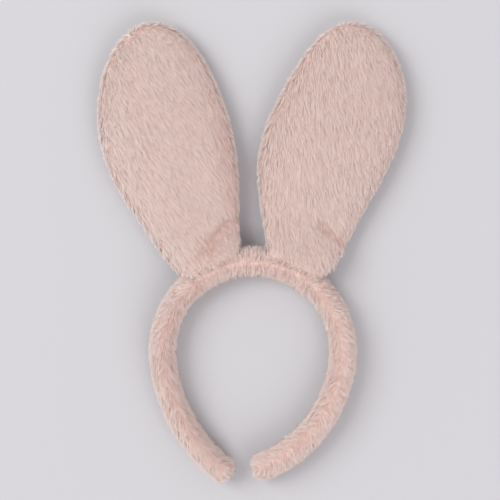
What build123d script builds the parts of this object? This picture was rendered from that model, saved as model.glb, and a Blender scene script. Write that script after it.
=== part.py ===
from build123d import *
import os
from math import asin, cos, degrees, radians, sin, sqrt, tan

# Plush bunny ears headband: a sprung plastic band in a padded faux fur sleeve, with two stuffed,
# wired ears sewn to its crown.
#
# The headband lies on its side, as it is laid on a table. +Z is up from the table, +Y runs towards
# the tips of the ears, which is up when the headband is worn, and +X is to the right. The origin is
# on the table, at the middle of the whole part's footprint. Lengths are in millimetres and angles in
# degrees.
#
# The band is one springy strip that bends along its whole length. Each arm here turns on one upright
# hinge line at the shoulder instead, so the strip, its padding and its sleeve are each in three
# lengths: crown and two arms.

# Band: one plastic strip bent to a ring that is open at the bottom
crown_radius = 68.4        # middle line of the strip, from the crown down to the bend of each arm
arm_bend = 96.0            # from the top of the crown to where each arm's flatter bend starts
arm_radius = {"left": 122.0, "right": 98.0}     # middle line of the flatter bend
arm_end_angle = {"left": 144.5, "right": 162.0}  # from the top of the crown, of the square end of each arm
shoulder_angle = 60.0      # from the top of the crown to each hinge line
core_thickness = 2.2       # of the plastic strip, across the surface of the head
core_width = 12.0          # of the plastic strip, along Z
core_tip_radius = 4.5      # rounding of the strip's free ends
padding_side = 3.7         # foam over the strip's two faces
padding_edge = 1.0         # foam over the strip's two edges

# Faux fur: knitted backing and pile together, measured to the tips of the pile
fur_thickness = 6.0
end_fillet = 4.5           # rounding of the sleeve's closed ends
press_depth = 0.6          # how far the pile is pressed flat where it lies on the table

# Seam of the sleeve: a parting in the pile, sewn at its bottom
seam_shift = 1.5           # of the parting, from the tube's middle towards the head
seam_mouth = 3.4
seam_depth = 4.2
thread_diameter = 0.8
thread_end = 3.0           # of the seam's thread, short of the ends of its parting
end_stitch_length = 13.0   # of the thread that closes each end, along Z
end_stitch_depth = 3.0     # of its slot in the end's pile

# Ears: two mirrored leaf shapes
ear_length = 177.0         # from the root's hinge line to the tip
ear_belly = 88.0           # from the root's hinge line to the widest place
ear_half_width = 50.3
ear_half_thickness = 13.2
ear_root_half_width = 25.5
ear_skirt = 12.0           # of the leaf, drawn on past the hinge line before it is trimmed there
ear_plumpness = 0.85       # how the ear thins to its tip: 1 in proportion to its width, 0 not at all
ear_tip_cut = 1.0          # length at the tip that the pile rounds off
ear_lean = 14.0            # of each ear's axis, outwards from +Y
root_angle = 25.5          # from the top of the crown to the middle of each root
root_radius = 7.5          # of the rolled root that is sewn to the crown
root_half_length = 23.0
root_step = 0.5            # of the leaf's faces, inside the rolled root
sections_below = 5         # of the leaf, from its skirt to its widest place
sections_above = 6         # of the leaf, from its widest place to its tip

# Inside the ears
stuffing_start = 14.0      # from the hinge line
stuffing_tip = 15.0        # from the end of the stuffing to the ear's tip
wire_diameter = 1.6
wire_inset = 5.0           # from the edge of the stuffing to the middle of the wire
wire_start = 18.0          # from the hinge line to the wire's two ends
ear_seam_inset = 3.5       # from the outline to the thread, inside the seam allowance
ear_seam_start = 8.0       # from the hinge line to the thread's two ends

# Thread that ties each root to the crown and is its hinge
root_thread_diameter = 1.2
root_thread_overhang = 2.5  # of its legs past the root's ends
root_thread_grip = 4.0      # of its legs inside the sleeve
root_thread_bend = 2.0

# Travel of the arms
spread_angle = 25.0        # outwards, from rest to fully open
lip_clearance = 0.6        # of the crown's lips from a fully opened arm

# Clearances
layer_gap = 0.1            # between layers that are wrapped over each other
bore_gap = 0.05            # around the thread in the root's bore
joint_gap = 0.3            # between the crown and whatever turns on it
core_end_gap = 1.0         # between the end of an arm's strip and the inside of its sleeve
cut_overrun = 1.0          # of a cutting shape past what it cuts, in millimetres or degrees

BEND_SHARE = 0.45          # of the shorter of two runs, taken up by the arc between them

tube_side = core_thickness / 2 + padding_side + fur_thickness
tube_height = core_width / 2 + padding_edge + fur_thickness
lip_setback = tube_side * sin(radians(spread_angle)) + lip_clearance
lip_angle = shoulder_angle - degrees(lip_setback / crown_radius)
root_distance = crown_radius + tube_side + joint_gap + root_radius
stuffing_gap = fur_thickness - layer_gap
stuffing_end = ear_length - stuffing_tip
core_setback = fur_thickness + core_end_gap
SIDES = {"left": -1, "right": 1}
up = Vector(0, 0, 1)


def from_crown(side, angle):
    """Direction from the ring's centre, at an angle from the top of the crown."""
    return Vector(SIDES[side] * sin(radians(angle)), cos(radians(angle)))


def arm_reach(side):
    """How far an arm's rounded end reaches towards -Y from the ring's centre."""
    round_radius = arm_radius[side] + tube_side - end_fillet
    round_angle = arm_end_angle[side] - degrees(end_fillet / round_radius)
    bend_drop = from_crown(side, arm_bend).Y * (crown_radius - arm_radius[side])
    return end_fillet - bend_drop - from_crown(side, round_angle).Y * round_radius


ear_crest = Vector((ear_length - ear_belly) * cos(radians(ear_lean)), ear_half_width * sin(radians(ear_lean)))
ear_reach = root_distance * cos(radians(root_angle)) + ear_belly * cos(radians(ear_lean)) + ear_crest.length
ring_centre = Vector(0, (max(map(arm_reach, SIDES)) - ear_reach) / 2, tube_height - press_depth)


def bend_centre(side):
    return ring_centre + from_crown(side, arm_bend) * (crown_radius - arm_radius[side])


def run(across, line, profile, mode):
    """Sweep a profile along a line, with the profile's y up and its x across the line."""
    with BuildSketch(Plane(origin=line @ 0, x_dir=across, z_dir=across.cross(up))) as section:
        profile()
    sweep(section.sketch, path=line, mode=mode)


def crown_run(profile, stop, shift=0.0, mode=Mode.ADD):
    """Run a profile over the crown, to the same angle on both sides of its top."""
    with BuildLine() as line:
        CenterArc(ring_centre, crown_radius + shift, 90 + stop, -2 * stop)
    run(from_crown("left", stop), line.wire(), profile, mode)


def arm_run(side, profile, start, end_setback, shift=0.0, mode=Mode.ADD):
    """Run a profile along an arm: on round the crown's own curve, then round the flatter bend."""
    turn = arm_end_angle[side] - arm_bend - degrees(end_setback / arm_radius[side])
    towards = -SIDES[side]
    with BuildLine() as line:
        CenterArc(ring_centre, crown_radius + shift, 90 + towards * start, towards * (arm_bend - start))
        CenterArc(bend_centre(side), arm_radius[side] + shift, 90 + towards * arm_bend, towards * turn)
    run(from_crown(side, start) * SIDES[side], line.wire(), profile, mode)


def arm_end(side):
    """Middle of an arm's end face."""
    return bend_centre(side) + from_crown(side, arm_end_angle[side]) * arm_radius[side]


def knuckle(side, growth=0.0, turn=180, mode=Mode.ADD):
    """The tube's own oval turned about the hinge line, round the side towards the crown."""
    across = from_crown(side, shoulder_angle) * SIDES[side]
    pivot = ring_centre + from_crown(side, shoulder_angle) * crown_radius
    with BuildSketch(Plane(origin=pivot, x_dir=across, z_dir=across.cross(up))) as section:
        Ellipse(tube_side + growth, tube_height + growth)
        Rectangle(3 * tube_side, 3 * tube_height, align=(Align.MIN, Align.CENTER), mode=Mode.INTERSECT)
    revolve(section.sketch, axis=Axis(pivot, up), revolution_arc=turn, mode=mode)


def sockets():
    for side in SIDES:
        knuckle(side, joint_gap, 360, Mode.SUBTRACT)


def fur_profile():
    Ellipse(tube_side, tube_height)


def padding_profile(gap=0.0):
    Ellipse(tube_side - fur_thickness + gap, tube_height - fur_thickness + gap)


def core_profile(gap=0.0):
    Rectangle(core_thickness + 2 * gap, core_width + 2 * gap)


def parting_profile():
    floor = thread_diameter / 2 + layer_gap
    bottom = tube_height - seam_depth
    Polygon(
        (-floor, bottom),
        (floor, bottom),
        (seam_mouth / 2, tube_height + cut_overrun),
        (-seam_mouth / 2, tube_height + cut_overrun),
        align=None,
    )


def seam_thread_profile():
    with Locations((0, tube_height - seam_depth + thread_diameter / 2 + layer_gap)):
        Circle(thread_diameter / 2)


def end_plane(side):
    """Plane at an arm's end, with its local x out of the end and its y across the tube."""
    outwards = from_crown(side, arm_end_angle[side])
    return Plane(origin=arm_end(side), x_dir=up.cross(outwards) * -SIDES[side], z_dir=up)


def end_stitch():
    """Thread across an arm's closed end, sunk in its pile."""
    with Locations((-end_stitch_depth, 0, 0)):
        Cylinder(thread_diameter / 2, end_stitch_length)


def end_slot():
    """Slot that an end's thread lies in."""
    depth = end_stitch_depth + thread_diameter / 2 + layer_gap
    width = thread_diameter + 2 * layer_gap
    length = end_stitch_length + 2 * layer_gap
    Box(depth, width, length, align=(Align.MAX, Align.CENTER, Align.CENTER), mode=Mode.SUBTRACT)


def press_flat():
    """Flatten whatever lies on the table."""
    split(bisect_by=Plane.XY, keep=Keep.TOP)


def ear_axis(side):
    return Vector(SIDES[side] * sin(radians(ear_lean)), cos(radians(ear_lean)))


def ear_plane(side, along):
    """Plane across an ear, with its local x across the ear and its y along Z."""
    axis = ear_axis(side)
    origin = ring_centre + from_crown(side, root_angle) * root_distance + axis * along
    return Plane(origin=origin, x_dir=up.cross(axis), z_dir=up.cross(axis).cross(up))


def ear_halves(along):
    """Half the width and half the thickness of an ear at a distance from its hinge line."""
    if along < ear_belly:
        growth = sin(radians(90 * along / ear_belly))
        root_thickness = root_radius - root_step
        return (
            ear_root_half_width + (ear_half_width - ear_root_half_width) * growth,
            root_thickness + (ear_half_thickness - root_thickness) * growth,
        )
    narrowing = sqrt(1 - ((along - ear_belly) / (ear_length - ear_belly)) ** 2)
    return ear_half_width * narrowing, ear_half_thickness * narrowing**ear_plumpness


def ear_stations(start, stop):
    """Places of the leaf's sections, closer together towards the tip."""
    tip_turn = asin((stop - ear_belly) / (ear_length - ear_belly))
    below = [start + (ear_belly - start) * i / (sections_below - 1) for i in range(sections_below)]
    above = [sin(tip_turn * (i + 1) / sections_above) for i in range(sections_above)]
    return below + [ear_belly + (ear_length - ear_belly) * share for share in above]


def leaf(side, start, stop, inset=0.0, mode=Mode.ADD):
    """Loft an ear, or what fills it at an inset from its surface."""
    sections = []
    for along in ear_stations(start, stop):
        half_width, half_thickness = ear_halves(along)
        with BuildSketch(ear_plane(side, along)) as section:
            Ellipse(half_width - inset, half_thickness - inset)
        sections.append(section.sketch)
    loft(sections, mode=mode)


def hinge_plane(side):
    """Plane at the middle of a root, with its local x along the hinge line and its y away from the crown."""
    outwards = from_crown(side, root_angle)
    return Plane(origin=ring_centre + outwards * root_distance, x_dir=outwards.cross(up), z_dir=up)


def outline_points(side, start, stop, inset):
    """Points along an ear's outline at an inset, up one side, round the tip and down the other."""
    stations = ear_stations(start, stop)
    plane = ear_plane(side, 0)
    axis = ear_axis(side)
    rise = [plane.origin + axis * along + plane.x_dir * (ear_halves(along)[0] - inset) for along in stations]
    fall = [plane.origin + axis * along - plane.x_dir * (ear_halves(along)[0] - inset) for along in stations]
    return rise + fall[::-1]


def thread_along(points, diameter, mode=Mode.ADD):
    """Sweep a round thread or wire along straight runs joined by the largest tangent arcs."""
    bends = []
    for before, at, after in zip(points, points[1:], points[2:]):
        turn = radians((at - before).get_angle(after - at))
        bends.append(BEND_SHARE * min((at - before).length, (after - at).length) / tan(turn / 2))
    with BuildLine() as line:
        FilletPolyline(*points, radius=bends)
    with BuildSketch(Plane(origin=line.wire() @ 0, z_dir=line.wire() % 0)) as section:
        Circle(diameter / 2)
    sweep(section.sketch, path=line.wire(), mode=mode)


def root_thread_run(side, diameter, grip, mode=Mode.ADD):
    """Sweep the root's thread: along the hinge line and down into the sleeve at both ends."""
    leg = root_half_length + root_thread_overhang
    surface = sqrt((crown_radius + tube_side) ** 2 - leg**2)
    reach = root_distance - surface + grip
    with BuildLine(hinge_plane(side)) as line:
        FilletPolyline((-leg, -reach), (-leg, 0), (leg, 0), (leg, -reach), radius=root_thread_bend)
    with BuildSketch(Plane(origin=line.wire() @ 0, z_dir=line.wire() % 0)) as section:
        Circle(diameter / 2)
    sweep(section.sketch, path=line.wire(), mode=mode)


def ear_seam_run(side, diameter, mode=Mode.ADD):
    points = outline_points(side, ear_seam_start, ear_length - ear_seam_inset, ear_seam_inset)
    thread_along(points, diameter, mode)


def wire_run(side, diameter, mode=Mode.ADD):
    inset = fur_thickness + wire_inset
    points = outline_points(side, wire_start, stuffing_end - wire_inset, inset)
    thread_along(points, diameter, mode)


def panel(side, keep):
    """One fur panel of an ear, from the seam out to the pile's tips, with its half of the rolled root."""
    leaf(side, -ear_skirt, ear_length - ear_tip_cut)
    hinge = hinge_plane(side)
    # The leaf starts past the thread, so that only the rolled root lies between the thread's legs
    leaf_start = hinge.origin + hinge.y_dir * (root_thread_diameter / 2 + joint_gap)
    split(bisect_by=Plane(origin=leaf_start, z_dir=hinge.y_dir), keep=Keep.TOP)
    with Locations(hinge):
        Cylinder(root_radius, 2 * root_half_length, rotation=(0, 90, 0))
    press_flat()
    leaf(side, stuffing_start - layer_gap, stuffing_end + layer_gap, stuffing_gap, Mode.SUBTRACT)
    ear_seam_run(side, thread_diameter + 2 * layer_gap, Mode.SUBTRACT)
    root_thread_run(side, root_thread_diameter + 2 * bore_gap, 0, Mode.SUBTRACT)
    split(bisect_by=Plane.XY.offset(ring_centre.Z), keep=keep)


def write(name, piece):
    piece.part.label = name
    export_step(piece.part, f"parts/{name}.step")


os.makedirs("parts", exist_ok=True)

# Crown: strip, padding, sleeve and the thread of the sleeve's seam
with BuildPart() as band_core_crown:
    crown_run(core_profile, lip_angle)
    sockets()
write("band_core_crown", band_core_crown)

with BuildPart() as band_padding_crown:
    crown_run(padding_profile, lip_angle)
    crown_run(lambda: core_profile(layer_gap), lip_angle + cut_overrun, mode=Mode.SUBTRACT)
    sockets()
write("band_padding_crown", band_padding_crown)

with BuildPart() as band_sleeve_crown:
    crown_run(fur_profile, lip_angle)
    press_flat()
    crown_run(lambda: padding_profile(layer_gap), lip_angle + cut_overrun, mode=Mode.SUBTRACT)
    crown_run(parting_profile, lip_angle + cut_overrun, -seam_shift, Mode.SUBTRACT)
    sockets()
    for ear_side in SIDES:
        root_thread_run(ear_side, root_thread_diameter, root_thread_grip, Mode.SUBTRACT)
write("band_sleeve_crown", band_sleeve_crown)

with BuildPart() as sleeve_seam_crown:
    crown_run(seam_thread_profile, lip_angle - degrees(thread_end / crown_radius), -seam_shift)
write("sleeve_seam_crown", sleeve_seam_crown)

# Arms
for arm_side in SIDES:
    with BuildPart() as band_core_arm:
        arm_run(arm_side, core_profile, shoulder_angle, core_setback)
        tip = band_core_arm.faces().sort_by_distance(arm_end(arm_side))[0]
        corners = tip.edges().filter_by(lambda edge: abs(edge.center().Z - ring_centre.Z) > core_width / 4)
        fillet(corners, core_tip_radius)
    write(f"band_core_arm_{arm_side}", band_core_arm)

    with BuildPart() as band_padding_arm:
        arm_run(arm_side, padding_profile, shoulder_angle, fur_thickness)
        cut_start = shoulder_angle - cut_overrun
        arm_run(arm_side, lambda: core_profile(layer_gap), cut_start, core_setback, mode=Mode.SUBTRACT)
    write(f"band_padding_arm_{arm_side}", band_padding_arm)

    with BuildPart() as band_sleeve_arm:
        arm_run(arm_side, fur_profile, shoulder_angle, 0)
        rim = band_sleeve_arm.faces().sort_by_distance(arm_end(arm_side))[0]
        fillet(rim.edges(), end_fillet)
        knuckle(arm_side)
        press_flat()
        inside_start = shoulder_angle - degrees(layer_gap / crown_radius)
        inside_setback = fur_thickness - layer_gap
        arm_run(arm_side, lambda: padding_profile(layer_gap), inside_start, inside_setback, mode=Mode.SUBTRACT)
        arm_run(arm_side, parting_profile, shoulder_angle, fur_thickness, -seam_shift, Mode.SUBTRACT)
        with Locations(end_plane(arm_side)):
            end_slot()
    write(f"band_sleeve_arm_{arm_side}", band_sleeve_arm)

    with BuildPart() as sleeve_seam_arm:
        thread_start = shoulder_angle + degrees(thread_end / crown_radius)
        arm_run(arm_side, seam_thread_profile, thread_start, fur_thickness + thread_end, -seam_shift)
    write(f"sleeve_seam_arm_{arm_side}", sleeve_seam_arm)

    with BuildPart() as end_stitches:
        with Locations(end_plane(arm_side)):
            end_stitch()
    write(f"end_stitches_{arm_side}", end_stitches)

# Ears
for ear_side in SIDES:
    with BuildPart() as root_stitches:
        root_thread_run(ear_side, root_thread_diameter, root_thread_grip)
    write(f"root_stitches_{ear_side}", root_stitches)

    with BuildPart() as ear_front_panel:
        panel(ear_side, Keep.TOP)
    write(f"ear_front_panel_{ear_side}", ear_front_panel)

    with BuildPart() as ear_back_panel:
        panel(ear_side, Keep.BOTTOM)
    write(f"ear_back_panel_{ear_side}", ear_back_panel)

    with BuildPart() as ear_stuffing:
        leaf(ear_side, stuffing_start, stuffing_end, fur_thickness)
        wire_run(ear_side, wire_diameter + 2 * layer_gap, Mode.SUBTRACT)
    write(f"ear_stuffing_{ear_side}", ear_stuffing)

    with BuildPart() as ear_wire:
        wire_run(ear_side, wire_diameter)
    write(f"ear_wire_{ear_side}", ear_wire)

    with BuildPart() as ear_seam:
        ear_seam_run(ear_side, thread_diameter)
    write(f"ear_seam_{ear_side}", ear_seam)
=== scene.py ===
"""Pale pink plush bunny ears headband, lying flat on a pale table and seen from straight above."""
import math

import bpy
import numpy as np
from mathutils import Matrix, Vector
from mathutils.kdtree import KDTree


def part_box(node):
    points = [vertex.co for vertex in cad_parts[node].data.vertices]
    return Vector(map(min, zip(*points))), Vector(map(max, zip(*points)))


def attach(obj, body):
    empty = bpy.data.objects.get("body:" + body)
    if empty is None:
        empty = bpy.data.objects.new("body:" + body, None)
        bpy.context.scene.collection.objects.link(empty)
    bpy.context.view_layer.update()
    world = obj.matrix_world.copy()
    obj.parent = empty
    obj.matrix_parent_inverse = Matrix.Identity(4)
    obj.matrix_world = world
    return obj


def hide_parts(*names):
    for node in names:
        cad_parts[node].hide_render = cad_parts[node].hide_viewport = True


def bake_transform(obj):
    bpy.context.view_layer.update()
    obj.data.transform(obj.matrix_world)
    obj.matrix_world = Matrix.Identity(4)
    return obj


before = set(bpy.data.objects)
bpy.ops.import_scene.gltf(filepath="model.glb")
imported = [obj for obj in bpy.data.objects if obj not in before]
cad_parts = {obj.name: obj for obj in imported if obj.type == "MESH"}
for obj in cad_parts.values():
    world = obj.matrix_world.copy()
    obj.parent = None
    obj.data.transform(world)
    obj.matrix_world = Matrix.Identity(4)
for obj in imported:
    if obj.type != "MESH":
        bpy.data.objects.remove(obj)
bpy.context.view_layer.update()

MM = 0.001
SIDES = {"left": -1, "right": 1}
UP = np.array((0.0, 0.0, 1.0))

# The band's middle line is a crown arc, then a flatter arc down each arm. Angles are degrees from the top.
CROWN_RADIUS = 68.4 * MM
TUBE_SIDE = 10.8 * MM      # half the tube's width on the plan
TUBE_HEIGHT = 13.0 * MM    # half its height
ARM_BEND = 96.0            # where the flatter arcs begin
ARM_RADIUS = {"left": 122.0 * MM, "right": 98.0 * MM}
ARM_TURN = {"left": 48.5, "right": 66.0}
SPLIT = 41.0               # where the crown's skin hands over to the arms' skins
SEAM_SHIFT = 1.5 * MM      # how far inside the middle line the parting runs

# The ears. Lengths run from the hinge line at the root to the tip.
EAR_LENGTH = 177.0 * MM
EAR_BELLY = 88.0 * MM      # where an ear is widest
EAR_HALF = 50.3 * MM       # half its width there
EAR_ROOT_HALF = 27.5 * MM  # wide enough for the pile to hide the thread that ties the root
EAR_THICK = 13.2 * MM      # half its thickness where it is widest
EAR_PLUMP = 0.85           # how closely thickness follows width
EAR_LEAN = 14.0
ROOT_ANGLE = 25.5
ROOT_OUT = 7.8 * MM        # from the tube's outer face to the root's hinge line
LAP_EDGE = 5.0 * MM        # how far outside the crown's middle line the ear's skin ends
ROOT_LAP = ROOT_OUT + TUBE_SIDE - LAP_EDGE

# The pile. Densities are blades to a square millimetre, before thinning.
FUR_DEPTH = 3.0 * MM       # from the knitted backing to the tips of the pile
BAND_DENSITY = 4.4
EAR_DENSITY = {"front": 6.9, "back": 4.5}
EAR_RIM_TRIM = {"front": 3.0, "back": 4.2}     # how many millimetres shorter a blade is at the rim
BLADE_WIDTH = 0.30 * MM
BLADE_STOPS = np.array((0.0, 0.35, 0.7, 1.0))  # where along it a blade has points
BLADES_PER_LOCK = 12
LOCK_REACH = 2.5 * MM      # how far a lock may pull a tip
TABLE_GAP = 0.3 * MM
SEEDS = {"ear_left": 41, "ear_right": 43, "crown": 47, "arm_left": 53, "arm_right": 59}

_, crown_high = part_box("band_sleeve_crown")
RING = np.array((0.0, crown_high.y - CROWN_RADIUS - TUBE_SIDE, crown_high.z - TUBE_HEIGHT))


def unit(v):
    return v / np.maximum(np.linalg.norm(v, axis=-1, keepdims=True), 1e-12)


def smooth(t):
    t = np.clip(t, 0.0, 1.0)
    return t * t * (3 - 2 * t)


def from_crown(side, degrees):
    """Outward direction on the plan, at an angle from the crown's top."""
    a = np.radians(degrees)
    return np.stack((SIDES[side] * np.sin(a), np.cos(a), np.zeros_like(a)), -1)


def band_point(side, run):
    """Middle line of the band, and its outward direction, at a distance from the crown's top."""
    run = np.asarray(run, float)
    bend_run = CROWN_RADIUS * math.radians(ARM_BEND)
    on_crown = np.degrees(run / CROWN_RADIUS)
    on_arm = ARM_BEND + np.degrees((run - bend_run) / ARM_RADIUS[side])
    centre = RING + from_crown(side, np.array(ARM_BEND)) * (CROWN_RADIUS - ARM_RADIUS[side])
    first = (run < bend_run)[..., None]
    out = np.where(first, from_crown(side, on_crown), from_crown(side, on_arm))
    return np.where(first, RING + out * CROWN_RADIUS, centre + out * ARM_RADIUS[side]), out


def band_length(side):
    return CROWN_RADIUS * math.radians(ARM_BEND) + ARM_RADIUS[side] * math.radians(ARM_TURN[side])


# Materials


def material(name, build):
    made = bpy.data.materials.new(name)
    made.use_nodes = True
    nodes = made.node_tree.nodes
    nodes.clear()
    out = nodes.new("ShaderNodeOutputMaterial")
    shader = nodes.new("ShaderNodeBsdfPrincipled")
    made.node_tree.links.new(shader.outputs[0], out.inputs[0])
    build(nodes, made.node_tree.links, shader)
    return made


def ramp(nodes, stops):
    made = nodes.new("ShaderNodeValToRGB")
    elements = made.color_ramp.elements
    elements[0].position, elements[0].color = stops[0][0], (*stops[0][1], 1)
    elements[1].position, elements[1].color = stops[-1][0], (*stops[-1][1], 1)
    for place, colour in stops[1:-1]:
        elements.new(place).color = (*colour, 1)
    return made


def srgb(r, g, b):
    """Linear colour from levels out of 255."""
    return tuple((c / 255 / 12.92) if c <= 10 else ((c / 255 + 0.055) / 1.055) ** 2.4 for c in (r, g, b))


def bump(nodes, links, shader, height, strength, distance):
    made = nodes.new("ShaderNodeBump")
    made.inputs["Strength"].default_value = strength
    made.inputs["Distance"].default_value = distance
    links.new(height, made.inputs["Height"])
    links.new(made.outputs[0], shader.inputs["Normal"])


FUR_DEEP = srgb(232, 194, 184)
FUR_MID = srgb(249, 229, 222)
FUR_LIGHT = srgb(253, 241, 236)


def fur_shader(nodes, links, shader):
    """A strand's place in the colour table: across it a deep to a pale tone, up it painted shade, darker at
    the root than at the tip.
    """
    uv = nodes.new("ShaderNodeUVMap")
    uv.uv_map = "OFBake"
    split = nodes.new("ShaderNodeSeparateXYZ")
    links.new(uv.outputs[0], split.inputs[0])
    tone = ramp(nodes, [(0.0, FUR_DEEP), (0.5, FUR_MID), (1.0, FUR_LIGHT)])
    links.new(split.outputs[0], tone.inputs[0])
    # Painted shade: each blade is darker towards its root, where the pile shades itself.
    shade = ramp(nodes, [(0.0, (0.95, 0.90, 0.885)), (0.35, (0.99, 0.975, 0.97)), (1.0, (1.0, 1.0, 1.0))])
    links.new(split.outputs[1], shade.inputs[0])
    mix = nodes.new("ShaderNodeMix")
    mix.data_type = "RGBA"
    mix.blend_type = "MULTIPLY"
    mix.inputs[0].default_value = 1.0
    links.new(tone.outputs[0], mix.inputs[6])
    links.new(shade.outputs[0], mix.inputs[7])
    links.new(mix.outputs[2], shader.inputs["Base Color"])
    shader.inputs["Roughness"].default_value = 0.85
    shader.inputs["Specular IOR Level"].default_value = 0.15
    shader.inputs["Sheen Weight"].default_value = 0.4
    shader.inputs["Sheen Roughness"].default_value = 0.5
    shader.inputs["Sheen Tint"].default_value = (1.0, 0.93, 0.88, 1)


def backing_shader(nodes, links, shader):
    """The knitted backing under the pile: fine rows of loops, mottled."""
    place = nodes.new("ShaderNodeTexCoord")
    wave = nodes.new("ShaderNodeTexWave")
    wave.inputs["Scale"].default_value = 300.0
    wave.inputs["Distortion"].default_value = 2.0
    links.new(place.outputs["Object"], wave.inputs["Vector"])
    mottle = nodes.new("ShaderNodeTexNoise")
    mottle.inputs["Scale"].default_value = 160.0
    mottle.inputs["Detail"].default_value = 4.0
    links.new(place.outputs["Object"], mottle.inputs["Vector"])
    colour = ramp(nodes, [(0.3, FUR_DEEP), (0.7, FUR_MID)])
    links.new(mottle.outputs[0], colour.inputs[0])
    links.new(colour.outputs[0], shader.inputs["Base Color"])
    bump(nodes, links, shader, wave.outputs[1], 0.3, 0.0004)
    shader.inputs["Roughness"].default_value = 0.95
    shader.inputs["Specular IOR Level"].default_value = 0.1


def noisy_shader(dark, light, scale, roughness, metallic=0.0):
    """Material of an inner piece: two tones and a slight grain from one noise."""
    def build(nodes, links, shader):
        place = nodes.new("ShaderNodeTexCoord")
        noise = nodes.new("ShaderNodeTexNoise")
        noise.inputs["Scale"].default_value = scale
        noise.inputs["Detail"].default_value = 5.0
        links.new(place.outputs["Object"], noise.inputs["Vector"])
        colour = ramp(nodes, [(0.3, dark), (0.7, light)])
        links.new(noise.outputs[0], colour.inputs[0])
        links.new(colour.outputs[0], shader.inputs["Base Color"])
        bump(nodes, links, shader, noise.outputs[0], 0.25, 0.0003)
        shader.inputs["Roughness"].default_value = roughness
        shader.inputs["Metallic"].default_value = metallic

    return build


fur_material = material("faux_fur", fur_shader)
backing_material = material("fur_backing", backing_shader)
THREAD = srgb(226, 190, 181), srgb(240, 212, 204)
FOAM = srgb(226, 218, 208), srgb(240, 235, 228)
FILL = srgb(235, 233, 230), srgb(248, 247, 245)
STRIP = srgb(214, 200, 195), srgb(228, 216, 211)
WIRE = srgb(190, 190, 192), srgb(214, 214, 216)
thread_material = material("sewing_thread", noisy_shader(*THREAD, 900.0, 0.8))
foam_material = material("soft_foam", noisy_shader(*FOAM, 500.0, 0.9))
fill_material = material("fibre_fill", noisy_shader(*FILL, 120.0, 0.95))
strip_material = material("spring_strip", noisy_shader(*STRIP, 60.0, 0.55))
wire_material = material("ear_wire", noisy_shader(*WIRE, 200.0, 0.4, 0.6))

# Materials of the CAD nodes inside the skins, by how their names start
INNER = {
    "band_core": strip_material,
    "band_padding": foam_material,
    "ear_stuffing": fill_material,
    "ear_wire": wire_material,
    "ear_seam": thread_material,
    "sleeve_seam": thread_material,
    "end_stitches": thread_material,
    "root_stitches": thread_material,
}


def mesh_object(name, points, faces, finish, uvs=None):
    """A mesh from arrays: lists of face corners, one array for each face size, and a UV for each corner."""
    mesh = bpy.data.meshes.new(name)
    sizes = np.concatenate([np.full(len(f), f.shape[1]) for f in faces])
    corners = np.concatenate([f.ravel() for f in faces])
    mesh.vertices.add(len(points))
    mesh.vertices.foreach_set("co", np.asarray(points, np.float32).ravel())
    mesh.loops.add(len(corners))
    mesh.loops.foreach_set("vertex_index", corners.astype(np.int32))
    mesh.polygons.add(len(sizes))
    mesh.polygons.foreach_set("loop_start", np.concatenate(([0], np.cumsum(sizes)[:-1])).astype(np.int32))
    if uvs is not None:
        layer = mesh.uv_layers.new(name="OFBake")
        layer.data.foreach_set("uv", np.asarray(uvs, np.float32).ravel())
    mesh.materials.append(finish)
    mesh.update(calc_edges=True)
    mesh.validate()
    mesh.shade_smooth()
    made = bpy.data.objects.new(name, mesh)
    bpy.context.scene.collection.objects.link(made)
    return made


def grid_faces(rows, columns):
    """Faces of rows of points, each row wrapped round."""
    r, c = np.meshgrid(np.arange(rows - 1), np.arange(columns), indexing="ij")
    d = (c + 1) % columns
    corners = (r * columns + c, r * columns + d, (r + 1) * columns + d, (r + 1) * columns + c)
    return np.stack(corners, -1).reshape(-1, 4)


def closed_rows(points, rows, columns):
    """Rows of points as a surface, with a fan over each end."""
    count, ring = len(points), np.arange(columns)
    last = (rows - 1) * columns
    near = np.stack((np.full(columns, count), (ring + 1) % columns, ring), -1)
    far = np.stack((np.full(columns, count + 1), last + ring, last + (ring + 1) % columns), -1)
    points = np.concatenate((points, points[:columns].mean(0)[None], points[last:].mean(0)[None]))
    return points, [grid_faces(rows, columns), near, far]


def turned_over(faces):
    return [f[:, ::-1] for f in faces]


# Skins: the knitted backing as closed surfaces


def ear_spine(side, along):
    """Middle line of an ear: it leaves the sleeve's seam square to the crown and leans upright above it."""
    sign = SIDES[side]
    start = RING + from_crown(side, np.array(ROOT_ANGLE)) * (CROWN_RADIUS + LAP_EDGE)
    steps = np.linspace(-ROOT_LAP, EAR_LENGTH, 400)
    lean = EAR_LEAN + (ROOT_ANGLE - EAR_LEAN) * (1 - smooth((steps + ROOT_LAP) / (40 * MM)))
    heading = from_crown(side, lean)
    run = np.concatenate((np.zeros((1, 3)), np.cumsum((heading[1:] + heading[:-1]) / 2, 0)))
    run = run * (steps[1] - steps[0])
    spine = np.stack([np.interp(along, steps, (start + run)[:, k]) for k in range(3)], -1)
    out = np.stack([np.interp(along, steps, heading[:, k]) for k in range(3)], -1)
    across = np.stack((out[:, 1], -out[:, 0], out[:, 2]), -1)
    share = np.clip(along / EAR_LENGTH, 0, 1)
    if side == "left":
        bow = 6.0 * MM * np.sin(np.pi * share**1.2)
    else:
        bow = -4.0 * MM * np.sin(2 * np.pi * share)
    return spine + across * (sign * bow)[:, None], unit(out), unit(across)


def ear_half(along, inset=0.0):
    """Half the width of an ear along it, at an inset from its outline."""
    rise = np.sin(np.pi / 2 * np.minimum(along, EAR_BELLY) / EAR_BELLY)
    below = EAR_ROOT_HALF + (EAR_HALF - EAR_ROOT_HALF) * rise
    share = np.clip((along - EAR_BELLY) / (EAR_LENGTH - inset - EAR_BELLY), 0, 1)
    return np.where(along < EAR_BELLY, below - inset, (EAR_HALF - inset) * np.sqrt(1 - share**2))


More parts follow.
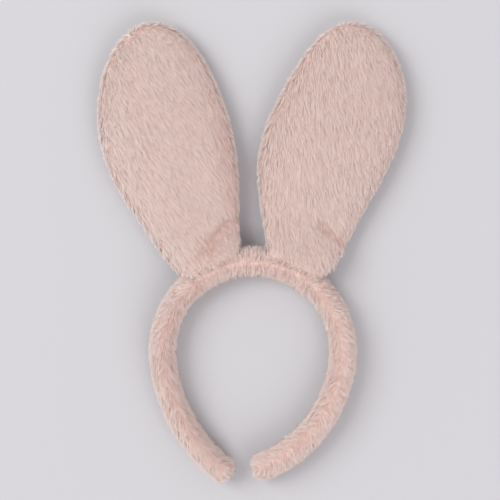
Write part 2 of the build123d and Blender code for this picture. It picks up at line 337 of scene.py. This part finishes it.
def ear_surface(side, along, turn, inset):
    """Point of an ear's skin: along it, and turned round its section from its right edge over its front."""
    spine, out, across = ear_spine(side, along)
    half = ear_half(along, inset)
    below = EAR_THICK * (ear_half(along) / EAR_HALF) ** EAR_PLUMP - inset
    above = (EAR_THICK - inset) * (half / (EAR_HALF - inset)) ** EAR_PLUMP
    lap = 1 - smooth((along + ROOT_LAP) / (48 * MM))
    half = np.maximum(half + 0.3 * inset * lap, 0.2 * MM)
    thick = np.maximum(np.where(along < EAR_BELLY, below, above), 0.15 * MM) * (1 - 0.25 * lap)
    lift = 9.5 * MM * lap**1.3
    x = np.cos(turn)
    z = np.sin(turn)
    sag = lap * (half * x) ** 2 / (2 * CROWN_RADIUS)
    point = spine + across * (half * x)[:, None] - out * sag[:, None] + UP * (lift + thick * z)[:, None]
    floor = 0.9 * MM
    point[:, 2] = np.where(point[:, 2] < floor, floor + (point[:, 2] - floor) * 0.1, point[:, 2])
    return point


def ear_rows(side, along, columns, inset):
    """Rows of points round an ear's section, at an inset from its outline."""
    turn = np.linspace(0, 2 * np.pi, columns, endpoint=False)
    a, t = np.meshgrid(along, turn, indexing="ij")
    return ear_surface(side, a.ravel(), t.ravel(), inset)


def ear_skin(side):
    rows, columns = 140, 72
    share = np.linspace(0, 1, rows)
    along = -ROOT_LAP + (EAR_LENGTH + ROOT_LAP - FUR_DEPTH) * (1 - (1 - share) ** 1.6)
    points, faces = closed_rows(ear_rows(side, along, columns, FUR_DEPTH), rows, columns)
    press_pleats(side, points)
    return points, turned_over(faces)


def band_tube(middle, out, size):
    """Skin of the sleeve round a run of the band's middle line, closed at both ends."""
    columns = 48
    turn = np.linspace(0, 2 * np.pi, columns, endpoint=False)
    x = np.cos(turn)[None, :, None] * (TUBE_SIDE - FUR_DEPTH) * size[:, None, None]
    z = np.sin(turn)[None, :, None] * (TUBE_HEIGHT - FUR_DEPTH) * size[:, None, None]
    points = (middle[:, None] + out[:, None] * x + UP * z).reshape(-1, 3)
    points, faces = closed_rows(points, len(middle), columns)
    along = np.cross(out[1], UP) @ (middle[2] - middle[1])
    return points, faces if along > 0 else turned_over(faces)


def crown_skin():
    rows = 62
    reach = CROWN_RADIUS * math.radians(SPLIT)
    run = np.linspace(-reach, reach, rows)
    middle, out = np.empty((rows, 3)), np.empty((rows, 3))
    for side in SIDES:
        here = run * SIDES[side] >= 0
        middle[here], out[here] = band_point(side, np.abs(run[here]))
    return band_tube(middle, out, np.ones(rows))


def arm_skin(side):
    stop = band_length(side) - FUR_DEPTH * 0.6
    end_round = (TUBE_SIDE - FUR_DEPTH) * 0.75
    tail = stop - end_round * (1 - np.sin(np.linspace(0, np.pi / 2, 8)))
    run = np.linspace(CROWN_RADIUS * math.radians(SPLIT), tail[0], 100)
    run = np.concatenate((run[:-1], tail))
    into_end = np.clip((run - (stop - end_round)) / end_round, 0, 1)
    middle, out = band_point(side, run)
    return band_tube(middle, out, 0.35 + 0.65 * np.sqrt(1 - into_end**2))


# Fur: every strand is a narrow blade rooted in a skin


def scatter(points, faces, per_mm2, rng):
    """Even random places on a skin, with the skin's normals there."""
    tris = np.concatenate([f[:, [0, k, k + 1]] for f in faces for k in range(1, f.shape[1] - 1)])
    a, b, c = (points[tris[:, k]] for k in range(3))
    cross = np.cross(b - a, c - a)
    normals = np.zeros_like(points)
    for k in range(3):
        np.add.at(normals, tris[:, k], cross)
    normals = unit(normals)
    area = np.linalg.norm(cross, axis=1) / 2
    count = int(area.sum() / MM**2 * per_mm2)
    chosen = rng.choice(len(tris), count, p=area / area.sum())
    u, v = rng.random((2, count))
    over = u + v > 1
    u[over], v[over] = 1 - u[over], 1 - v[over]
    w = np.stack((1 - u - v, u, v), -1)
    place = np.einsum("nk,nkd->nd", w, points[tris[chosen]])
    return place, unit(np.einsum("nk,nkd->nd", w, normals[tris[chosen]]))


def at_rim(normals, reach):
    """How near the skin is to upright: 0 on its faces, 1 at the edges seen from above."""
    return smooth((reach - np.abs(normals[:, 2])) / 0.5)


def rim_facing(normals, rim):
    """Which way the blades' flat sides turn: along the skin's normals, and more up or down at the rim."""
    tilt = np.clip(2.4 * normals[:, 2] + 0.5, -1, 1)
    return unit(normals + UP * (0.9 * rim * tilt)[:, None])


def fur_object(name, roots, normals, facing, naps, lengths, tones, gather, stand, rng):
    """Blades that leave the skin partly upright and bend over into the nap, gathered into loose locks."""
    count = len(roots)
    leaders = rng.choice(count, max(1, count // BLADES_PER_LOCK), replace=False)
    tree = KDTree(len(leaders))
    for k, leader in enumerate(leaders):
        tree.insert(roots[leader], k)
    tree.balance()
    lock = np.array([tree.find(p)[1] for p in roots])
    flat = naps - normals * np.sum(naps * normals, 1)[:, None]
    stand = np.broadcast_to(stand, count)[:, None]
    gather = np.broadcast_to(gather, count)[:, None]
    lock_sway = rng.normal(0, 0.10, (len(leaders), 3))[lock]
    flat = unit(flat + lock_sway + rng.normal(0, 0.11, (count, 3)))
    first = unit(normals * stand + flat * 0.9 + rng.normal(0, 0.10, (count, 3)))
    last = unit(normals * stand * 0.35 + flat + rng.normal(0, 0.08, (count, 3)))
    lengths = lengths * (1 + 0.12 * rng.standard_normal(count)).clip(0.65, 1.35)
    curl = BLADE_STOPS[:, None, None]
    path = roots - normals * 0.3 * MM + lengths[:, None] * (first * curl + (last - first) * curl**2 / 2)
    pull = path[3][leaders[lock]] - path[3]
    pull *= np.minimum(1, LOCK_REACH / np.maximum(np.linalg.norm(pull, axis=1, keepdims=True), 1e-9))
    path += pull * gather * curl**2
    path[..., 2] = np.maximum(path[..., 2], TABLE_GAP)
    side = unit(np.cross(last, facing + rng.normal(0, 0.55, (count, 3))))
    face_way = np.cross(side, last)
    side[np.sum(face_way * facing, 1) < 0] *= -1
    half = side * BLADE_WIDTH / 2 * (0.75 + 0.5 * rng.random(count))[:, None]
    blade = np.stack((
        path[0] - half, path[0] + half, path[1] - half * 0.95, path[1] + half * 0.95,
        path[2] - half * 0.75, path[2] + half * 0.75, path[3],
    ), 1)
    start = (np.arange(count) * 7)[:, None]
    quads = np.concatenate((start + (0, 1, 3, 2), start + (2, 3, 5, 4)))
    tips = start + (4, 5, 6)
    tones = tones + rng.normal(0, 0.07, len(leaders))[lock] + rng.normal(0, 0.08, count)
    tones = np.clip(tones, 0.02, 0.98)
    across = np.array((-1, 1, -1, 1, -1, 1, 0)) * 0.01
    up = np.broadcast_to(np.repeat(BLADE_STOPS, 2)[:7], (count, 7))
    uv = np.stack((tones[:, None] + across, up), -1).reshape(-1, 2)
    uvs = np.concatenate((uv[quads.ravel()], uv[tips.ravel()]))
    made = mesh_object(name, blade.reshape(-1, 3), [quads, tips], fur_material, uvs)
    blade_normal = np.cross(side, last)
    soft = unit(facing * 0.7 + unit(blade_normal) * 0.4)
    made.data.normals_split_custom_set_from_vertices(np.repeat(soft, 7, 0).tolist())
    return made


def near_line(place, line, width):
    """How near a place is to a line on the plan, from 1 on it to 0 a few widths away."""
    nearest = np.full(len(place), 1e9)
    for start, stop in zip(line, line[1:]):
        start, stop = np.array(start) * MM, np.array(stop) * MM
        run = stop - start
        share = np.clip((place[:, :2] - start) @ run / (run @ run), 0, 1)
        away = np.linalg.norm(place[:, :2] - start - share[:, None] * run, axis=1)
        nearest = np.minimum(nearest, away)
    return np.exp(-(nearest / (width * MM)) ** 2)


# Pleats pressed into the fronts of the ears, on the plan in millimetres: line, width, depth
PLEATS = {
    "left": [
        ([(-38, 2), (-31, 12), (-25, 20), (-14, 27)], 4.8, 2.0),
    ],
    "right": [
        ([(39, -13), (45, -15.5), (52, -17)], 2.4, 0.9),
        ([(50, 22), (60, 15), (70, 8)], 4.5, 1.4),
    ],
}


def pleat_depth(side, place):
    """How deep the pleats are at a place, in millimetres."""
    depths = (near_line(place, line, width) * depth for line, width, depth in PLEATS[side])
    return sum(depths, np.zeros(len(place)))


def press_pleats(side, points):
    on_front = points[:, 2] > RING[2]
    points[:, 2] -= np.where(on_front, pleat_depth(side, points), 0) * MM


def ear_place(side, place):
    """A place in the ear's own terms: along it, and outwards across it as a share of its half width."""
    sample = np.linspace(-ROOT_LAP, EAR_LENGTH, 120)
    spine, _, across = ear_spine(side, sample)
    nearest = np.argmin(((place[:, None, :2] - spine[None, :, :2]) ** 2).sum(-1), 1)
    offset = np.sum((place - spine[nearest]) * across[nearest], 1)
    return sample[nearest], offset / ear_half(sample[nearest]) * SIDES[side]


def in_tube(place, share):
    """Whether a place lies inside the crown's sleeve, scaled by a share."""
    rel = place - RING
    out = np.hypot(rel[:, 0], rel[:, 1]) - CROWN_RADIUS
    return (out / TUBE_SIDE) ** 2 + (rel[:, 2] / TUBE_HEIGHT) ** 2 < share**2


# The way the strands lie on the front of each ear, and on both backs
EAR_NAP = {"left": np.array((0.62, -0.78, 0.0)), "right": np.array((0.26, -0.96, 0.0))}
BACK_NAP = np.array((0.0, -1.0, 0.0))


def ear_fur(side, points, faces, rng):
    """The pile of an ear's front and back. At the rim it stands outwards, shorter and denser, and its tone
    is paler there with painted light.
    """
    made = []
    for face in ("front", "back"):
        on_front = face == "front"
        place, normals = scatter(points, faces, EAR_DENSITY[face], rng)
        rim = at_rim(normals, 0.74)
        thinned = rng.random(len(place)) < 0.34 + 0.66 * smooth(1.7 * rim)
        keep = ((normals[:, 2] > -0.15) == on_front) & ~in_tube(place, 0.72) & thinned
        place, normals, rim = place[keep], normals[keep], rim[keep]
        along, across = ear_place(side, place)
        _, heading, _ = ear_spine(side, along)
        inner_edge = smooth((-across - 0.45) / 0.5)
        combed_down = inner_edge if side == "left" else 0.5 * smooth((np.abs(across) - 0.6) / 0.4)
        nap = EAR_NAP[side] if on_front else BACK_NAP
        naps = unit(nap * (1 - combed_down)[:, None] - heading * combed_down[:, None])
        outward = unit(normals * (1, 1, 0))
        inward = np.minimum(np.sum(naps * outward, 1), 0) * rim
        naps = unit(naps - 1.7 * inward[:, None] * outward)
        pleat = np.clip(pleat_depth(side, place) / 2.0, 0, 1) if on_front else np.zeros(len(place))
        lap = 1 - smooth((along + ROOT_LAP) / (12 * MM))
        lengths = (7.8 - 1.8 * pleat - EAR_RIM_TRIM[face] * rim) * (1 - 0.35 * lap) * MM
        # Tones: painted shade darkens the pleats, and painted light makes the rim paler.
        tones = 0.60 - 0.42 * pleat + 0.20 * rim
        if side == "left":
            # On the left ear, painted shadow darkens the lower inner edge, and painted light makes the rim
            # and the outer edge paler.
            low = smooth((130 * MM - along) / (60 * MM)) * smooth((along - 8 * MM) / (28 * MM))
            outer_edge = smooth((across - 0.35) / 0.5)
            tones = tones + 0.08 * rim - 0.20 * low * inner_edge + 0.14 * outer_edge
        tones = tones + 0.12 * smooth((along / EAR_LENGTH - 0.75) / 0.25)
        stand = 0.34 + 1.1 * rim
        facing = rim_facing(normals, rim)
        name = f"ear_pile_{face}_{side}"
        made.append(fur_object(name, place, normals, facing, naps, lengths, tones, 0.2, stand, rng))
    return made


def crown_places(place):
    """Outward direction, offset from the middle line, side, angle, nearness to an end, and what shows.

    What lies under the ears' roots doesn't show.
    """
    rel = place - RING
    out = unit(rel * (1, 1, 0))
    offset = np.hypot(rel[:, 0], rel[:, 1]) - CROWN_RADIUS
    sign = np.where(rel[:, 0] < 0, -1, 1)
    angle = np.degrees(np.abs(np.arctan2(rel[:, 0], rel[:, 1])))
    under_ear = np.abs(angle - ROOT_ANGLE) < math.degrees(EAR_ROOT_HALF / CROWN_RADIUS) * 0.55
    turned = np.degrees(np.arctan2(rel[:, 2], offset))
    shown = ~(under_ear & (turned > -25) & (turned < 56))
    return out, offset, sign, angle, np.zeros(len(place)), shown


def arm_places(side, place):
    """The same terms for places on an arm, where all show."""
    run = np.linspace(CROWN_RADIUS * math.radians(SPLIT), band_length(side), 160)
    middle, outs = band_point(side, run)
    nearest = np.argmin(((place[:, None, :2] - middle[None, :, :2]) ** 2).sum(-1), 1)
    out = outs[nearest]
    offset = np.sum((place - middle[nearest]) * out, 1)
    sign = np.full(len(place), SIDES[side])
    angle = np.degrees(run[nearest] / CROWN_RADIUS)
    at_end = smooth((run[nearest] - run[-1] + 15 * MM) / (12 * MM))
    return out, offset, sign, angle, at_end, np.full(len(place), True)


def band_fur(name, part, points, faces, rng):
    """The sleeve's pile: parted along the seam, square to the band on the crown and down along the arms."""
    place, normals = scatter(points, faces, BAND_DENSITY, rng)
    rim = at_rim(normals, 0.7)
    kept = rng.random(len(place)) < 0.58 + 0.42 * rim
    place, normals, rim = place[kept], normals[kept], rim[kept]
    *terms, shown = crown_places(place) if part == "crown" else arm_places(part, place)
    place, normals, rim = place[shown], normals[shown], rim[shown]
    out, offset, sign, angle, at_end = (term[shown] for term in terms)
    along = np.stack((out[:, 1], -out[:, 0], out[:, 2]), -1) * sign[:, None]
    from_seam = offset + SEAM_SHIFT + 0.8 * MM * np.sin(angle * 0.9) + rng.normal(0, 1.1 * MM, len(place))
    away = np.sign(from_seam)[:, None]
    on_top = smooth(normals[:, 2] * 2)
    parting = np.exp(-((from_seam / (1.3 * MM)) ** 2)) * on_top * (1 - 0.7 * at_end)
    on_arm = smooth((angle - 28) / 26)
    right = sign[:, None] > 0
    crown_nap = out * away * 0.9 + along * (0.2 * smooth(angle / 14))[:, None]
    left_nap = along * 0.85 + out * away * 0.35
    right_nap = along * 0.55 + out * away * 0.65 + np.array((0.25, -0.15, 0.0))
    naps = unit(crown_nap * (1 - on_arm)[:, None] + np.where(right, right_nap, left_nap) * on_arm[:, None])
    naps = unit(naps * (1 - 0.8 * at_end)[:, None] + along * 0.5 * at_end[:, None])
    lengths = (6.8 - 1.2 * parting - 1.6 * np.maximum(rim, at_end)) * MM
    # Tones: painted shade darkens the parting along the seam, and painted light makes the rim paler.
    tones = 0.60 - 0.32 * parting - 0.05 * smooth(-offset / (8 * MM)) + 0.08 * rim
    gather = (0.10 + on_arm * np.where(sign > 0, 0.16, 0.06)) * (1 - 0.6 * rim)
    stand = 0.6 - 0.15 * on_arm + 0.35 * parting + 0.45 * np.maximum(rim, at_end)
    facing = rim_facing(normals, rim)
    return fur_object(name, place, normals, facing, naps, lengths, tones, gather, stand, rng)


# What the panels of an ear enclose


def tube_object(name, path, diameter, finish):
    """A closed run of wire or thread, as a mesh tube along its path."""
    columns = 8
    heading = unit(np.roll(path, -1, 0) - np.roll(path, 1, 0))
    side = unit(np.cross(heading, UP))
    turn = np.linspace(0, 2 * np.pi, columns, endpoint=False)[None, :, None]
    points = path[:, None] + (side[:, None] * np.cos(turn) + UP * np.sin(turn)) * diameter / 2
    faces = grid_faces(len(path) + 1, columns) % (len(path) * columns)
    return mesh_object(name, points.reshape(-1, 3), [faces[:, ::-1]], finish)


def ear_outline(side, start, stop, inset):
    """Closed path round an ear's edge at an inset from its outline."""
    steps = 60
    along = start + (stop - start) * np.sin(np.linspace(0, np.pi / 2, steps))
    rise = ear_surface(side, along, np.zeros(steps), inset)
    fall = ear_surface(side, along, np.full(steps, np.pi), inset)
    return np.concatenate((rise, fall[::-1]))


def ear_filling(side):
    """The stuffing, the shaping wire inside it and the thread round the edge."""
    rows, columns = 60, 48
    share = np.linspace(0, 1, rows)
    start, stop = 15 * MM, EAR_LENGTH - 9 * MM
    along = start + (stop - start) * (1 - (1 - share) ** 1.35)
    points = ear_rows(side, along, columns, FUR_DEPTH + 0.6 * MM)
    press_pleats(side, points)
    points, faces = closed_rows(points, rows, columns)
    hoop = ear_outline(side, 18 * MM, EAR_LENGTH - 14 * MM, 11 * MM)
    edge = ear_outline(side, 8 * MM, EAR_LENGTH - 4.2 * MM, FUR_DEPTH + 1.0 * MM)
    fill = mesh_object(f"ear_fill_{side}", points, turned_over(faces), fill_material)
    wire = tube_object(f"ear_hoop_{side}", hoop, 1.6 * MM, wire_material)
    thread = tube_object(f"ear_thread_{side}", edge, 0.8 * MM, thread_material)
    return fill, wire, thread


# The dressed part

for side in SIDES:
    rng = np.random.default_rng(SEEDS[f"ear_{side}"])
    points, faces = ear_skin(side)
    skin = mesh_object(f"ear_skin_{side}", points, faces, backing_material)
    fill, wire, thread = ear_filling(side)
    for piece in (skin, *ear_fur(side, points, faces, rng), fill, wire, thread):
        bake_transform(piece)
    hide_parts(f"ear_stuffing_{side}")
    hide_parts(f"ear_wire_{side}")
    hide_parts(f"ear_seam_{side}")
    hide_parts(f"ear_front_panel_{side}", f"ear_back_panel_{side}")

points, faces = crown_skin()
skin = mesh_object("band_skin_crown", points, faces, backing_material)
pile = band_fur("band_pile_crown", "crown", points, faces, np.random.default_rng(SEEDS["crown"]))
for piece in (skin, pile):
    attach(piece, "crown")
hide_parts("band_sleeve_crown")

for side in SIDES:
    points, faces = arm_skin(side)
    skin = mesh_object(f"band_skin_arm_{side}", points, faces, backing_material)
    rng = np.random.default_rng(SEEDS[f"arm_{side}"])
    pile = band_fur(f"band_pile_arm_{side}", side, points, faces, rng)
    for piece in (skin, pile):
        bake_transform(piece)
    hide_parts(f"band_sleeve_arm_{side}")

# Every CAD node gets a material of its own kind, the ones that a piece replaces too
for name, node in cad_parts.items():
    for prefix, finish in INNER.items():
        if name.startswith(prefix):
            node.data.materials.clear()
            node.data.materials.append(finish)
    if name.startswith(("band_sleeve", "ear_front_panel", "ear_back_panel")):
        node.data.materials.clear()
        node.data.materials.append(backing_material)

# Table, light and camera


def table_shader(nodes, links, shader):
    noise = nodes.new("ShaderNodeTexNoise")
    noise.inputs["Scale"].default_value = 2.0
    colour = ramp(nodes, [(0.3, srgb(215, 215, 219)), (0.7, srgb(218, 218, 222))])
    links.new(noise.outputs[0], colour.inputs[0])
    links.new(colour.outputs[0], shader.inputs["Base Color"])
    shader.inputs["Roughness"].default_value = 0.9
    shader.inputs["Specular IOR Level"].default_value = 0.1


bpy.ops.mesh.primitive_plane_add(size=4.0, location=(0, 0, 0))
table = bpy.context.object
table.name = "table_top"
table.data.materials.append(material("table_finish", table_shader))

# The camera looks straight down from 1.2 m, a little off the middle, as the photograph does
camera = bpy.data.objects.new("camera", bpy.data.cameras.new("camera"))
bpy.context.scene.collection.objects.link(camera)
camera.location = (-2.05 * MM, 1.6 * MM, 1.2)
camera.data.sensor_width = 36.0
camera.data.lens = 112.5
bpy.context.scene.camera = camera


def soft_light(name, place, size, watts, colour):
    """A square lamp aimed at the middle of the table."""
    lamp = bpy.data.lights.new(name, "AREA")
    lamp.size = size
    lamp.energy = watts
    lamp.color = colour
    made = bpy.data.objects.new(name, lamp)
    made.location = place
    made.rotation_euler = (-Vector(place)).to_track_quat("-Z", "Y").to_euler()
    bpy.context.scene.collection.objects.link(made)


soft_light("window_light", (-3.1, 1.1, 3.6), 3.0, 106.0, (0.985, 1.0, 0.985))
soft_light("room_fill", (1.5, -2.3, 2.4), 2.5, 34.0, (1.0, 0.98, 0.98))

# The room lights the object; the camera and glossy and transmission rays see a plain pale background
world = bpy.data.worlds.new("studio")
bpy.context.scene.world = world
world.use_nodes = True
nodes, links = world.node_tree.nodes, world.node_tree.links
nodes.clear()
room = nodes.new("ShaderNodeBackground")
room.inputs[0].default_value = (1.0, 0.955, 0.97, 1)
room.inputs[1].default_value = 0.57
seen = nodes.new("ShaderNodeBackground")
seen.inputs[0].default_value = (0.72, 0.71, 0.74, 1)
seen.inputs[1].default_value = 1.0
ray = nodes.new("ShaderNodeLightPath")
first = nodes.new("ShaderNodeMath")
first.operation = "MAXIMUM"
second = nodes.new("ShaderNodeMath")
second.operation = "MAXIMUM"
links.new(ray.outputs["Is Camera Ray"], first.inputs[0])
links.new(ray.outputs["Is Glossy Ray"], first.inputs[1])
links.new(first.outputs[0], second.inputs[0])
links.new(ray.outputs["Is Transmission Ray"], second.inputs[1])
mix = nodes.new("ShaderNodeMixShader")
links.new(second.outputs[0], mix.inputs[0])
links.new(room.outputs[0], mix.inputs[1])
links.new(seen.outputs[0], mix.inputs[2])
out = nodes.new("ShaderNodeOutputWorld")
links.new(mix.outputs[0], out.inputs[0])
bpy.context.scene.view_settings.view_transform = "Standard"
